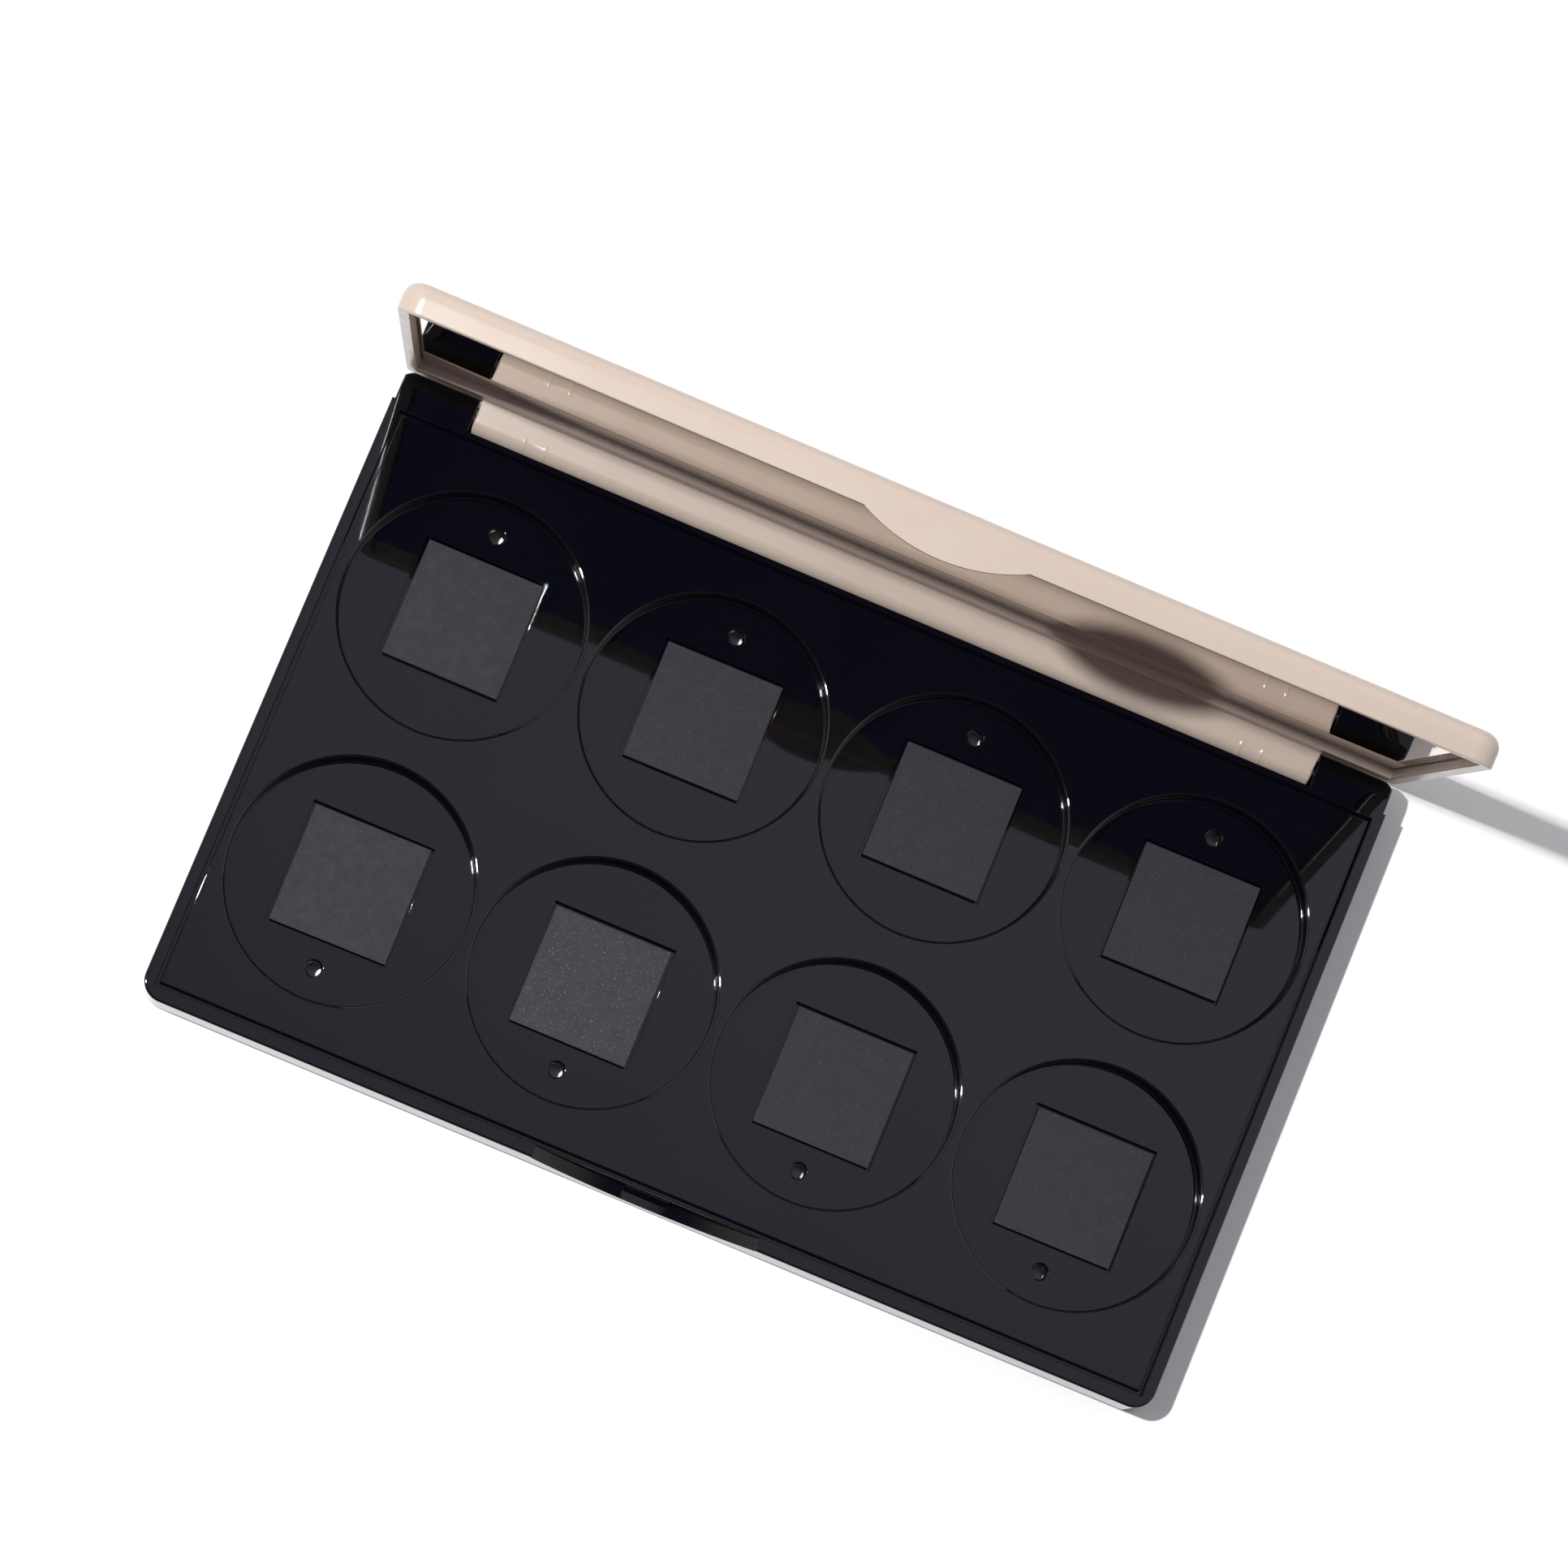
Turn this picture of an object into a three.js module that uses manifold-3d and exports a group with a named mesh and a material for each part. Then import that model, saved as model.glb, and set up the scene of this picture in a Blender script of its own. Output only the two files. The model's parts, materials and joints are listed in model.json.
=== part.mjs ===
// Magnetic eyeshadow palette: a black base casing, a drop-in tray with eight round wells, a magnet
// glued in each well, and a hinged lid with a recessed mirror. Millimetres, +Z up, +X to the right
// when seen from the front, +Y towards the hinge. The origin is the middle of the base's underside.
import * as THREE from 'three';
import { mergeVertices } from 'three/addons/utils/BufferGeometryUtils.js';
import Module from 'manifold-3d';

const wasm = await Module();
wasm.setup();

// ---- driving dimensions -----------------------------------------------------------------------
// Base casing
const CASE_HALF_WIDTH = 57.1;
const CASE_FRONT_Y = -36.15;
const CASE_HEIGHT = 6.7;
const CASE_CORNER_RADIUS = 2.4;
const CASE_FLOOR = 1.2;
const CASE_SHOULDER_Y = 32.5;
const SHOULDER_STEP = 0.3;
const REAR_RIM_Y = 32.15;
const LEDGE_WIDTH = 1.0;
const RIB_THICKNESS = 1.0;

// Hinge
const HINGE_Y = 33.95;
const HINGE_Z = 4.5;
const KNUCKLE_RADIUS = 2.2;
const KNUCKLE_INNER_X = 48.4;
const KNUCKLE_CHAMFER = 0.8;
const BARREL_RADIUS = 1.65;
const BARREL_HALF_LENGTH = 48.2;
const BARREL_TROUGH_Z = 2.2;
const PIN_RADIUS = 0.6;
const PIN_HOLE_RADIUS = 0.75;
const PIN_LENGTH = 14.6;
const PIN_HOLE_INNER_X = 41.5;
const PIN_RECESS = 0.2;
const LID_OPEN_DEGREES = 83;
const LID_STOP_DEGREES = 100;
const REAR_CLEARANCE = 0.1;

// Tray and wells
const TRAY_HALF_WIDTH = 55.4;
const TRAY_FRONT_Y = -34.2;
const TRAY_REAR_Y = 31.08;
const TRAY_GAP = 0.4;
const TRAY_PLATE = 1.2;
const WELL_COLUMNS = 4;
const WELL_ROWS = 2;
const WELL_PITCH_X = 27.5;
const WELL_PITCH_Y = 30.56;
const WELL_CENTRE_Y = -1.515;
const WELL_FLOOR_RADIUS = 13.1;
const WELL_RIM_RADIUS = 13.45;
const WELL_DEPTH = 2.6;
const WELL_EDGE = 0.35;
const CUP_WALL = 0.9;
const CUP_CLEARANCE = 0.15;
const POCKET_SIDE = 13.74;
const POCKET_DEPTH = 1.2;
const POCKET_WALL = 0.8;
const POKE_RADIUS = 0.8;
const POKE_EDGE = 0.25;
const POKE_OFFSET = 9.62;
const POKE_TUBE_RADIUS = 1.6;
const POKE_EXIT_RADIUS = 1.3;

// Magnets and their adhesive
const MAGNET_SIDE = 13.1;
const MAGNET_THICKNESS = 0.9;
const ADHESIVE_SIDE = 12.5;
const ADHESIVE_THICKNESS = 0.1;
// How far each magnet was set off its pocket's centre, and turned, when it was glued in.
const MAGNET_SETS = [
  { x: 0.12, y: 0.10, turn: 0.0 },
  { x: 0.14, y: 0.02, turn: 0.4 },
  { x: 0.12, y: 0.06, turn: 0.0 },
  { x: 0.12, y: 0.08, turn: 0.3 },
  { x: 0.10, y: 0.08, turn: 0.7 },
  { x: -0.04, y: -0.06, turn: 0.0 },
  { x: 0.12, y: 0.0, turn: 0.0 },
  { x: 0.10, y: -0.04, turn: 0.2 },
];

// Lid
const LID_GAP = 0.1;
const LID_THICKNESS = 3.3;
const LID_REAR_Y = 37.0;
const LID_CORNER_RADIUS = 2.4;
const LID_EDGE_RADIUS = 1.6;
const LID_RIM = 1.4;
const LID_REAR_RIM_Y = 28.8;
const MIRROR_RECESS = 1.0;
const MIRROR_THICKNESS = 1.0;
const MIRROR_EDGE_GAP = 0.3;
const MIRROR_ADHESIVE_MARGIN = 2.0;
const GLUE_GAP = 0.05;

// Thumb tab on the lid, and the scoop and catch in the casing's front rim
const TAB_WIDTH = 17.4;
const TAB_DROP = 2.1;
const TAB_THICKNESS = 1.0;
const SCOOP_HALF_WIDTH = 12.6;
const SCOOP_BACK_Y = -34.8;
const SCOOP_END_DEPTH = 0.6;
const SCOOP_MIDDLE_DEPTH = 4.4;
const CATCH_WIDTH = 4.9;
const CATCH_PROUD = 0.15;
const CATCH_TOP_DEPTH = 1.0;
const CATCH_HEIGHT = 0.6;
const CATCH_SLOT_DEPTH = 0.45;
const NIB_WIDTH = 4.3;
const NIB_PROUD = 0.15;
const NIB_HEIGHT = 0.35;

// How far a cutter runs past the face that it opens, and how far joined solids run into each other
const OVERCUT = 1;
const OVERLAP = 0.1;

// Facets round a full circle
const WELL_FACETS = 48;
const SMALL_FACETS = 16;
const CORNER_FACETS = 6;
const BARREL_FACETS = 32;
const EDGE_FACETS = 4;

// ---- materials ----------------------------------------------------------------------------------
const BLACK_GLOSS = { color: 0x0d0e11, roughness: 0.12, metalness: 0.0 };
const NUDE_GLOSS = { color: 0xdcc4b2, roughness: 0.22, metalness: 0.0 };
const MAGNET_GREY = { color: 0x3c3840, roughness: 0.6, metalness: 0.25 };
const MIRROR_SILVER = { color: 0xf2f4f5, roughness: 0.02, metalness: 1.0 };
const PIN_STEEL = { color: 0xa8a9ab, roughness: 0.3, metalness: 1.0 };
const ADHESIVE_FILM = { color: 0xb9b3a4, roughness: 0.7, metalness: 0.0 };

// ---- solid modelling helpers --------------------------------------------------------------------
function solidOf(geometry) {
  const bare = geometry.clone();
  bare.deleteAttribute('normal');
  bare.deleteAttribute('uv');
  const merged = mergeVertices(bare, 1e-5);
  const vertProperties = new Float32Array(merged.attributes.position.array);
  const triVerts = new Uint32Array(merged.index.array);
  return new wasm.Manifold(new wasm.Mesh({ numProp: 3, vertProperties, triVerts }));
}

function geometryOf(solid) {
  const mesh = solid.getMesh();
  const geometry = new THREE.BufferGeometry();
  geometry.setAttribute('position', new THREE.BufferAttribute(mesh.vertProperties, 3));
  geometry.setIndex(new THREE.BufferAttribute(mesh.triVerts, 1));
  geometry.computeVertexNormals();
  return geometry;
}

function addAll(solids) {
  return solids.reduce((whole, piece) => whole.add(piece));
}

function box(x0, x1, y0, y1, z0, z1) {
  const geometry = new THREE.BoxGeometry(x1 - x0, y1 - y0, z1 - z0);
  geometry.translate((x0 + x1) / 2, (y0 + y1) / 2, (z0 + z1) / 2);
  return geometry;
}

// A cone frustum standing on z0, or a cylinder where both radii are the same.
function frustum(lowRadius, highRadius, z0, z1, x, y, facets) {
  const geometry = new THREE.CylinderGeometry(highRadius, lowRadius, z1 - z0, facets);
  geometry.rotateX(Math.PI / 2);
  geometry.translate(x, y, (z0 + z1) / 2);
  return geometry;
}

function rodAlongX(radius, x0, x1, facets) {
  const geometry = new THREE.CylinderGeometry(radius, radius, x1 - x0, facets);
  geometry.rotateZ(Math.PI / 2);
  geometry.translate((x0 + x1) / 2, HINGE_Y, HINGE_Z);
  return geometry;
}

// An outline in X and Y, pushed up from z0 to z1.
function plate(shape, z0, z1) {
  const options = { depth: z1 - z0, bevelEnabled: false, curveSegments: CORNER_FACETS };
  const geometry = new THREE.ExtrudeGeometry(shape, options);
  geometry.translate(0, 0, z0);
  return geometry;
}

// A plate whose upper edge is rounded all the way round its outline.
function roundedPlate(shape, z0, z1, edgeRadius) {
  const options = { depth: z1 - z0 - edgeRadius, bevelEnabled: true, bevelThickness: edgeRadius,
    bevelSize: edgeRadius, bevelOffset: -edgeRadius, bevelSegments: EDGE_FACETS, curveSegments: CORNER_FACETS };
  const geometry = new THREE.ExtrudeGeometry(shape, options);
  geometry.translate(0, 0, z0);
  const belowPlate = box(-2 * CASE_HALF_WIDTH, 2 * CASE_HALF_WIDTH, 2 * CASE_FRONT_Y, 2 * LID_REAR_Y,
    z0 - 2 * edgeRadius, z0);
  return solidOf(geometry).subtract(solidOf(belowPlate));
}

// A side view in Y and Z, pushed along X from x0 to x1.
function slab(shape, x0, x1) {
  const options = { depth: x1 - x0, bevelEnabled: false, curveSegments: BARREL_FACETS / 2 };
  const geometry = new THREE.ExtrudeGeometry(shape, options);
  geometry.rotateY(Math.PI / 2);
  geometry.rotateX(Math.PI / 2);
  geometry.translate(x0, 0, 0);
  return geometry;
}

// A front view in X and Z, pushed along Y from y0 to y1.
function curtain(shape, y0, y1) {
  const options = { depth: y1 - y0, bevelEnabled: false, curveSegments: BARREL_FACETS };
  const geometry = new THREE.ExtrudeGeometry(shape, options);
  geometry.rotateX(Math.PI / 2);
  geometry.translate(0, y1, 0);
  return geometry;
}

function roundedRectangle(halfWidth, y0, y1, frontRadius, rearRadius) {
  const shape = new THREE.Shape();
  shape.moveTo(-halfWidth + frontRadius, y0);
  shape.lineTo(halfWidth - frontRadius, y0);
  shape.absarc(halfWidth - frontRadius, y0 + frontRadius, frontRadius, -Math.PI / 2, 0, false);
  shape.lineTo(halfWidth, y1 - rearRadius);
  if (rearRadius > 0) {
    shape.absarc(halfWidth - rearRadius, y1 - rearRadius, rearRadius, 0, Math.PI / 2, false);
    shape.absarc(-halfWidth + rearRadius, y1 - rearRadius, rearRadius, Math.PI / 2, Math.PI, false);
  } else {
    shape.lineTo(-halfWidth, y1);
  }
  shape.lineTo(-halfWidth, y0 + frontRadius);
  shape.absarc(-halfWidth + frontRadius, y0 + frontRadius, frontRadius, Math.PI, 1.5 * Math.PI, false);
  return shape;
}

// An arc that hangs below topZ: flat on top, and a circle through its two ends and its lowest point.
function hangingArc(halfWidth, topZ, endZ, lowestZ) {
  const sag = endZ - lowestZ;
  const radius = (halfWidth * halfWidth + sag * sag) / (2 * sag);
  const centreZ = lowestZ + radius;
  const endAngle = Math.atan2(endZ - centreZ, halfWidth);
  const shape = new THREE.Shape();
  shape.moveTo(-halfWidth, topZ);
  shape.lineTo(-halfWidth, endZ);
  shape.absarc(0, centreZ, radius, -Math.PI - endAngle, endAngle, false);
  shape.lineTo(halfWidth, topZ);
  return shape;
}

// ---- places worked out from the driving dimensions ------------------------------------------------
const trayUndersideZ = CASE_HEIGHT - TRAY_PLATE;
const wellFloorZ = CASE_HEIGHT - WELL_DEPTH;
const cupUndersideZ = wellFloorZ - CUP_WALL;
const pocketFloorZ = wellFloorZ - POCKET_DEPTH;
const pocketUndersideZ = pocketFloorZ - POCKET_WALL;
const lidRimZ = CASE_HEIGHT + LID_GAP;
const lidTopZ = lidRimZ + LID_THICKNESS;
const mirrorFaceZ = lidRimZ + MIRROR_RECESS;
const mirrorBackZ = mirrorFaceZ + MIRROR_THICKNESS;
const lidPocketZ = mirrorBackZ + 2 * GLUE_GAP + ADHESIVE_THICKNESS;

const wells = [];
for (let row = 0; row < WELL_ROWS; row += 1) {
  for (let column = 0; column < WELL_COLUMNS; column += 1) {
    const towards = row === 0 ? 1 : -1;
    const x = (column - (WELL_COLUMNS - 1) / 2) * WELL_PITCH_X;
    const y = WELL_CENTRE_Y + towards * WELL_PITCH_Y / 2;
    wells.push({ x, y, pokeY: y + towards * POKE_OFFSET });
  }
}

// The rear wall leans in below the hinge, so that the lid can lean back to its stop.
const stop = THREE.MathUtils.degToRad(LID_STOP_DEGREES);
const lidPlaneReach = lidRimZ - HINGE_Z - REAR_CLEARANCE;
const rearLean = Math.tan(stop - Math.PI / 2);
const rearTangentY = HINGE_Y + lidPlaneReach * Math.sin(stop);
const rearTangentZ = HINGE_Z + lidPlaneReach * Math.cos(stop);

function rearWallY(z) {
  return rearTangentY - (rearTangentZ - z) * rearLean;
}

// ---- sub-parts ----------------------------------------------------------------------------------
function knuckle(x0, x1) {
  const profile = new THREE.Shape();
  profile.moveTo(CASE_SHOULDER_Y - OVERCUT, 0);
  profile.lineTo(rearWallY(0), 0);
  profile.lineTo(rearWallY(rearTangentZ), rearTangentZ);
  profile.absarc(HINGE_Y, HINGE_Z, KNUCKLE_RADIUS, Math.PI / 2 - stop, Math.PI / 2, false);
  profile.lineTo(CASE_SHOULDER_Y - OVERCUT, HINGE_Z + KNUCKLE_RADIUS);
  return solidOf(slab(profile, x0, x1));
}

function rearSill() {
  const profile = new THREE.Shape();
  profile.moveTo(REAR_RIM_Y - OVERCUT, 0);
  profile.lineTo(rearWallY(0), 0);
  profile.lineTo(rearWallY(BARREL_TROUGH_Z), BARREL_TROUGH_Z);
  profile.lineTo(REAR_RIM_Y - OVERCUT, BARREL_TROUGH_Z);
  return solidOf(slab(profile, -KNUCKLE_INNER_X - OVERCUT, KNUCKLE_INNER_X + OVERCUT));
}

function cornerCutter(side) {
  const outerX = CASE_HALF_WIDTH - SHOULDER_STEP;
  const rearY = HINGE_Y + KNUCKLE_RADIUS;
  const shape = new THREE.Shape();
  shape.moveTo(outerX - KNUCKLE_CHAMFER, rearY);
  shape.lineTo(outerX, rearY - KNUCKLE_CHAMFER);
  shape.lineTo(outerX + OVERCUT, rearY - KNUCKLE_CHAMFER);
  shape.lineTo(outerX + OVERCUT, rearY + OVERCUT);
  shape.lineTo(outerX - KNUCKLE_CHAMFER, rearY + OVERCUT);
  const cutter = solidOf(plate(shape, -OVERCUT, CASE_HEIGHT + OVERCUT));
  return side > 0 ? cutter : cutter.mirror([1, 0, 0]);
}

function makeBaseCasing() {
  const outline = roundedRectangle(CASE_HALF_WIDTH, CASE_FRONT_Y, CASE_SHOULDER_Y, CASE_CORNER_RADIUS, 0);
  const outerX = CASE_HALF_WIDTH - SHOULDER_STEP;
  let casing = solidOf(plate(outline, 0, CASE_HEIGHT));
  const trough = box(-KNUCKLE_INNER_X, KNUCKLE_INNER_X, REAR_RIM_Y,
    CASE_SHOULDER_Y + OVERCUT, BARREL_TROUGH_Z, CASE_HEIGHT + OVERCUT);
  casing = casing.subtract(solidOf(trough));
  casing = addAll([casing, rearSill(), knuckle(-outerX, -KNUCKLE_INNER_X), knuckle(KNUCKLE_INNER_X, outerX)]);
  casing = casing.subtract(cornerCutter(1)).subtract(cornerCutter(-1));

  const openingX = TRAY_HALF_WIDTH + TRAY_GAP;
  const openingFront = TRAY_FRONT_Y - TRAY_GAP;
  const openingRear = TRAY_REAR_Y + TRAY_GAP;
  casing = casing.subtract(solidOf(box(-openingX, openingX, openingFront, openingRear,
    trayUndersideZ, CASE_HEIGHT + OVERCUT)));
  casing = casing.subtract(solidOf(box(-openingX + LEDGE_WIDTH, openingX - LEDGE_WIDTH,
    openingFront + LEDGE_WIDTH, openingRear - LEDGE_WIDTH, CASE_FLOOR, CASE_HEIGHT + OVERCUT)));
  const relief = WELL_FLOOR_RADIUS + CUP_WALL + CUP_CLEARANCE;
  for (const well of wells) {
    casing = casing.subtract(solidOf(frustum(relief, relief, cupUndersideZ - CUP_CLEARANCE,
      CASE_HEIGHT + OVERCUT, well.x, well.y, WELL_FACETS)));
  }

  const ribTop = cupUndersideZ - GLUE_GAP;
  const ribFront = openingFront + LEDGE_WIDTH / 2;
  const ribRear = openingRear - LEDGE_WIDTH / 2;
  const ribs = [solidOf(box(-openingX + LEDGE_WIDTH / 2, openingX - LEDGE_WIDTH / 2,
    WELL_CENTRE_Y - RIB_THICKNESS / 2, WELL_CENTRE_Y + RIB_THICKNESS / 2, CASE_FLOOR / 2, ribTop))];
  for (let rib = 1; rib < WELL_COLUMNS; rib += 1) {
    const x = (rib - WELL_COLUMNS / 2) * WELL_PITCH_X;
    ribs.push(solidOf(box(x - RIB_THICKNESS / 2, x + RIB_THICKNESS / 2, ribFront, ribRear,
      CASE_FLOOR / 2, ribTop)));
  }
  casing = casing.add(addAll(ribs));

  for (const well of wells) {
    casing = casing.subtract(solidOf(frustum(POKE_EXIT_RADIUS, POKE_EXIT_RADIUS, -OVERCUT,
      CASE_FLOOR + OVERCUT, well.x, well.pokeY, SMALL_FACETS)));
  }
  for (const side of [-1, 1]) {
    const x0 = side > 0 ? KNUCKLE_INNER_X - OVERCUT : -CASE_HALF_WIDTH;
    const x1 = side > 0 ? CASE_HALF_WIDTH : -KNUCKLE_INNER_X + OVERCUT;
    casing = casing.subtract(solidOf(rodAlongX(PIN_HOLE_RADIUS, x0, x1, SMALL_FACETS)));
  }
  return cutScoop(casing);
}

// The scoop gives a fingertip room under the lid's tab. Its catch is a small ledge on the scoop's
// rear wall, with a slot through the scoop's floor below it.
function cutScoop(casing) {
  const arc = hangingArc(SCOOP_HALF_WIDTH, CASE_HEIGHT + OVERCUT, CASE_HEIGHT - SCOOP_END_DEPTH,
    CASE_HEIGHT - SCOOP_MIDDLE_DEPTH);
  const scoop = solidOf(curtain(arc, CASE_FRONT_Y - OVERCUT, SCOOP_BACK_Y));
  const catchTop = CASE_HEIGHT - CATCH_TOP_DEPTH;
  const ledge = box(-CATCH_WIDTH / 2, CATCH_WIDTH / 2, SCOOP_BACK_Y - CATCH_PROUD,
    SCOOP_BACK_Y + OVERLAP, catchTop - CATCH_HEIGHT, catchTop);
  const slot = box(-CATCH_WIDTH / 2, CATCH_WIDTH / 2, SCOOP_BACK_Y - CATCH_SLOT_DEPTH, SCOOP_BACK_Y,
    CASE_FLOOR, CASE_HEIGHT - SCOOP_MIDDLE_DEPTH + OVERCUT);
  return casing.subtract(scoop).subtract(solidOf(slot)).add(solidOf(ledge));
}

function makeWellTray() {
  const blank = [solidOf(box(-TRAY_HALF_WIDTH, TRAY_HALF_WIDTH, TRAY_FRONT_Y, TRAY_REAR_Y,
    trayUndersideZ, CASE_HEIGHT))];
  const cuts = [];
  const pocketOuter = POCKET_SIDE / 2 + POCKET_WALL;
  const cupRadius = WELL_FLOOR_RADIUS + CUP_WALL;
  const tubeEndZ = CASE_FLOOR + GLUE_GAP;
  for (const { x, y, pokeY } of wells) {
    blank.push(solidOf(frustum(cupRadius, cupRadius, cupUndersideZ, CASE_HEIGHT - OVERLAP,
      x, y, WELL_FACETS)));
    blank.push(solidOf(box(x - pocketOuter, x + pocketOuter, y - pocketOuter, y + pocketOuter,
      pocketUndersideZ, wellFloorZ - OVERLAP)));
    blank.push(solidOf(frustum(POKE_TUBE_RADIUS, POKE_TUBE_RADIUS, tubeEndZ, wellFloorZ - OVERLAP,
      x, pokeY, SMALL_FACETS)));
    cuts.push(solidOf(frustum(WELL_FLOOR_RADIUS, WELL_FLOOR_RADIUS, wellFloorZ, CASE_HEIGHT + OVERCUT,
      x, y, WELL_FACETS)));
    cuts.push(solidOf(frustum(WELL_FLOOR_RADIUS, WELL_RIM_RADIUS, CASE_HEIGHT - WELL_EDGE, CASE_HEIGHT,
      x, y, WELL_FACETS)));
    cuts.push(solidOf(box(x - POCKET_SIDE / 2, x + POCKET_SIDE / 2, y - POCKET_SIDE / 2,
      y + POCKET_SIDE / 2, pocketFloorZ, CASE_HEIGHT)));
    cuts.push(solidOf(frustum(POKE_RADIUS, POKE_RADIUS, 0, CASE_HEIGHT, x, pokeY, SMALL_FACETS)));
    cuts.push(solidOf(frustum(POKE_RADIUS, POKE_RADIUS + POKE_EDGE, wellFloorZ - POKE_EDGE, wellFloorZ,
      x, pokeY, SMALL_FACETS)));
  }
  return cuts.reduce((tray, piece) => tray.subtract(piece), addAll(blank));
}

function makeLidShell() {
  const outline = roundedRectangle(CASE_HALF_WIDTH, CASE_FRONT_Y, LID_REAR_Y,
    LID_CORNER_RADIUS, LID_CORNER_RADIUS);
  let lid = roundedPlate(outline, lidRimZ, lidTopZ, LID_EDGE_RADIUS);
  const barrel = solidOf(rodAlongX(BARREL_RADIUS, -BARREL_HALF_LENGTH, BARREL_HALF_LENGTH, BARREL_FACETS));
  const web = solidOf(box(-BARREL_HALF_LENGTH, BARREL_HALF_LENGTH, HINGE_Y - BARREL_RADIUS,
    HINGE_Y + BARREL_RADIUS, HINGE_Z, lidRimZ + OVERCUT));
  lid = lid.add(barrel).add(web);

  const tabArc = hangingArc(TAB_WIDTH / 2, lidRimZ + OVERCUT, lidRimZ, lidRimZ - TAB_DROP);
  const tabRearY = CASE_FRONT_Y + TAB_THICKNESS;
  const nibZ = lidRimZ - TAB_DROP + NIB_HEIGHT / 2;
  lid = lid.add(solidOf(curtain(tabArc, CASE_FRONT_Y, tabRearY)));
  lid = lid.add(solidOf(box(-NIB_WIDTH / 2, NIB_WIDTH / 2, tabRearY - OVERLAP, tabRearY + NIB_PROUD,
    nibZ, nibZ + NIB_HEIGHT)));

  const mirrorPocket = box(-CASE_HALF_WIDTH + LID_RIM, CASE_HALF_WIDTH - LID_RIM,
    CASE_FRONT_Y + LID_RIM, LID_REAR_RIM_Y, lidRimZ - OVERCUT, lidPocketZ);
  lid = lid.subtract(solidOf(mirrorPocket));
  for (const side of [-1, 1]) {
    const x0 = side > 0 ? PIN_HOLE_INNER_X : -BARREL_HALF_LENGTH - OVERCUT;
    const x1 = side > 0 ? BARREL_HALF_LENGTH + OVERCUT : -PIN_HOLE_INNER_X;
    lid = lid.subtract(solidOf(rodAlongX(PIN_HOLE_RADIUS, x0, x1, SMALL_FACETS)));
  }
  return lid;
}

// ---- the assembly -------------------------------------------------------------------------------
function named(name, geometry, look) {
  const mesh = new THREE.Mesh(geometry, new THREE.MeshStandardMaterial(look));
  mesh.name = name;
  return mesh;
}

const palette = new THREE.Group();
palette.add(named('base_casing', geometryOf(makeBaseCasing()), BLACK_GLOSS));
palette.add(named('well_tray', geometryOf(makeWellTray()), BLACK_GLOSS));

wells.forEach(({ x, y }, index) => {
  const set = MAGNET_SETS[index];
  const film = new THREE.BoxGeometry(ADHESIVE_SIDE, ADHESIVE_SIDE, ADHESIVE_THICKNESS);
  const sheet = new THREE.BoxGeometry(MAGNET_SIDE, MAGNET_SIDE, MAGNET_THICKNESS);
  const adhesive = named(`magnet_adhesive_${index + 1}`, film, ADHESIVE_FILM);
  const magnet = named(`magnet_${index + 1}`, sheet, MAGNET_GREY);
  adhesive.position.set(x + set.x, y + set.y, pocketFloorZ + ADHESIVE_THICKNESS / 2);
  magnet.position.set(x + set.x, y + set.y, pocketFloorZ + ADHESIVE_THICKNESS + MAGNET_THICKNESS / 2);
  adhesive.rotation.z = THREE.MathUtils.degToRad(set.turn);
  magnet.rotation.z = THREE.MathUtils.degToRad(set.turn);
  palette.add(adhesive, magnet);
});

const pinOuterX = CASE_HALF_WIDTH - SHOULDER_STEP - PIN_RECESS;
palette.add(named('hinge_pin_left', rodAlongX(PIN_RADIUS, -pinOuterX, -pinOuterX + PIN_LENGTH, SMALL_FACETS),
  PIN_STEEL));
palette.add(named('hinge_pin_right', rodAlongX(PIN_RADIUS, pinOuterX - PIN_LENGTH, pinOuterX, SMALL_FACETS),
  PIN_STEEL));

// The lid's pieces are drawn shut, then swung open about the hinge.
const mirrorX = CASE_HALF_WIDTH - LID_RIM - MIRROR_EDGE_GAP;
const mirrorFrontY = CASE_FRONT_Y + LID_RIM + MIRROR_EDGE_GAP;
const mirrorRearY = LID_REAR_RIM_Y - MIRROR_EDGE_GAP;
const margin = MIRROR_ADHESIVE_MARGIN;
const shutLid = new THREE.Group();
shutLid.position.set(0, -HINGE_Y, -HINGE_Z);
shutLid.add(named('lid_shell', geometryOf(makeLidShell()), NUDE_GLOSS));
shutLid.add(named('mirror', box(-mirrorX, mirrorX, mirrorFrontY, mirrorRearY, mirrorFaceZ, mirrorBackZ),
  MIRROR_SILVER));
shutLid.add(named('mirror_adhesive', box(-mirrorX + margin, mirrorX - margin, mirrorFrontY + margin,
  mirrorRearY - margin, mirrorBackZ + GLUE_GAP, mirrorBackZ + GLUE_GAP + ADHESIVE_THICKNESS), ADHESIVE_FILM));

const hinge = new THREE.Group();
hinge.position.set(0, HINGE_Y, HINGE_Z);
hinge.rotation.x = THREE.MathUtils.degToRad(-LID_OPEN_DEGREES);
hinge.add(shutLid);
palette.add(hinge);

export default palette;
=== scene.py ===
"""Eyeshadow palette: its fine meshes, materials, light and camera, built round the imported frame.

Lengths are in millimetres until a piece is finished, and then in metres. +X is to the right seen
from the front, +Y towards the hinge and +Z up. The lid's pieces are drawn shut and swung open.
"""
import json
import math

import bmesh
import bpy
from mathutils import Matrix, Vector


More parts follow.
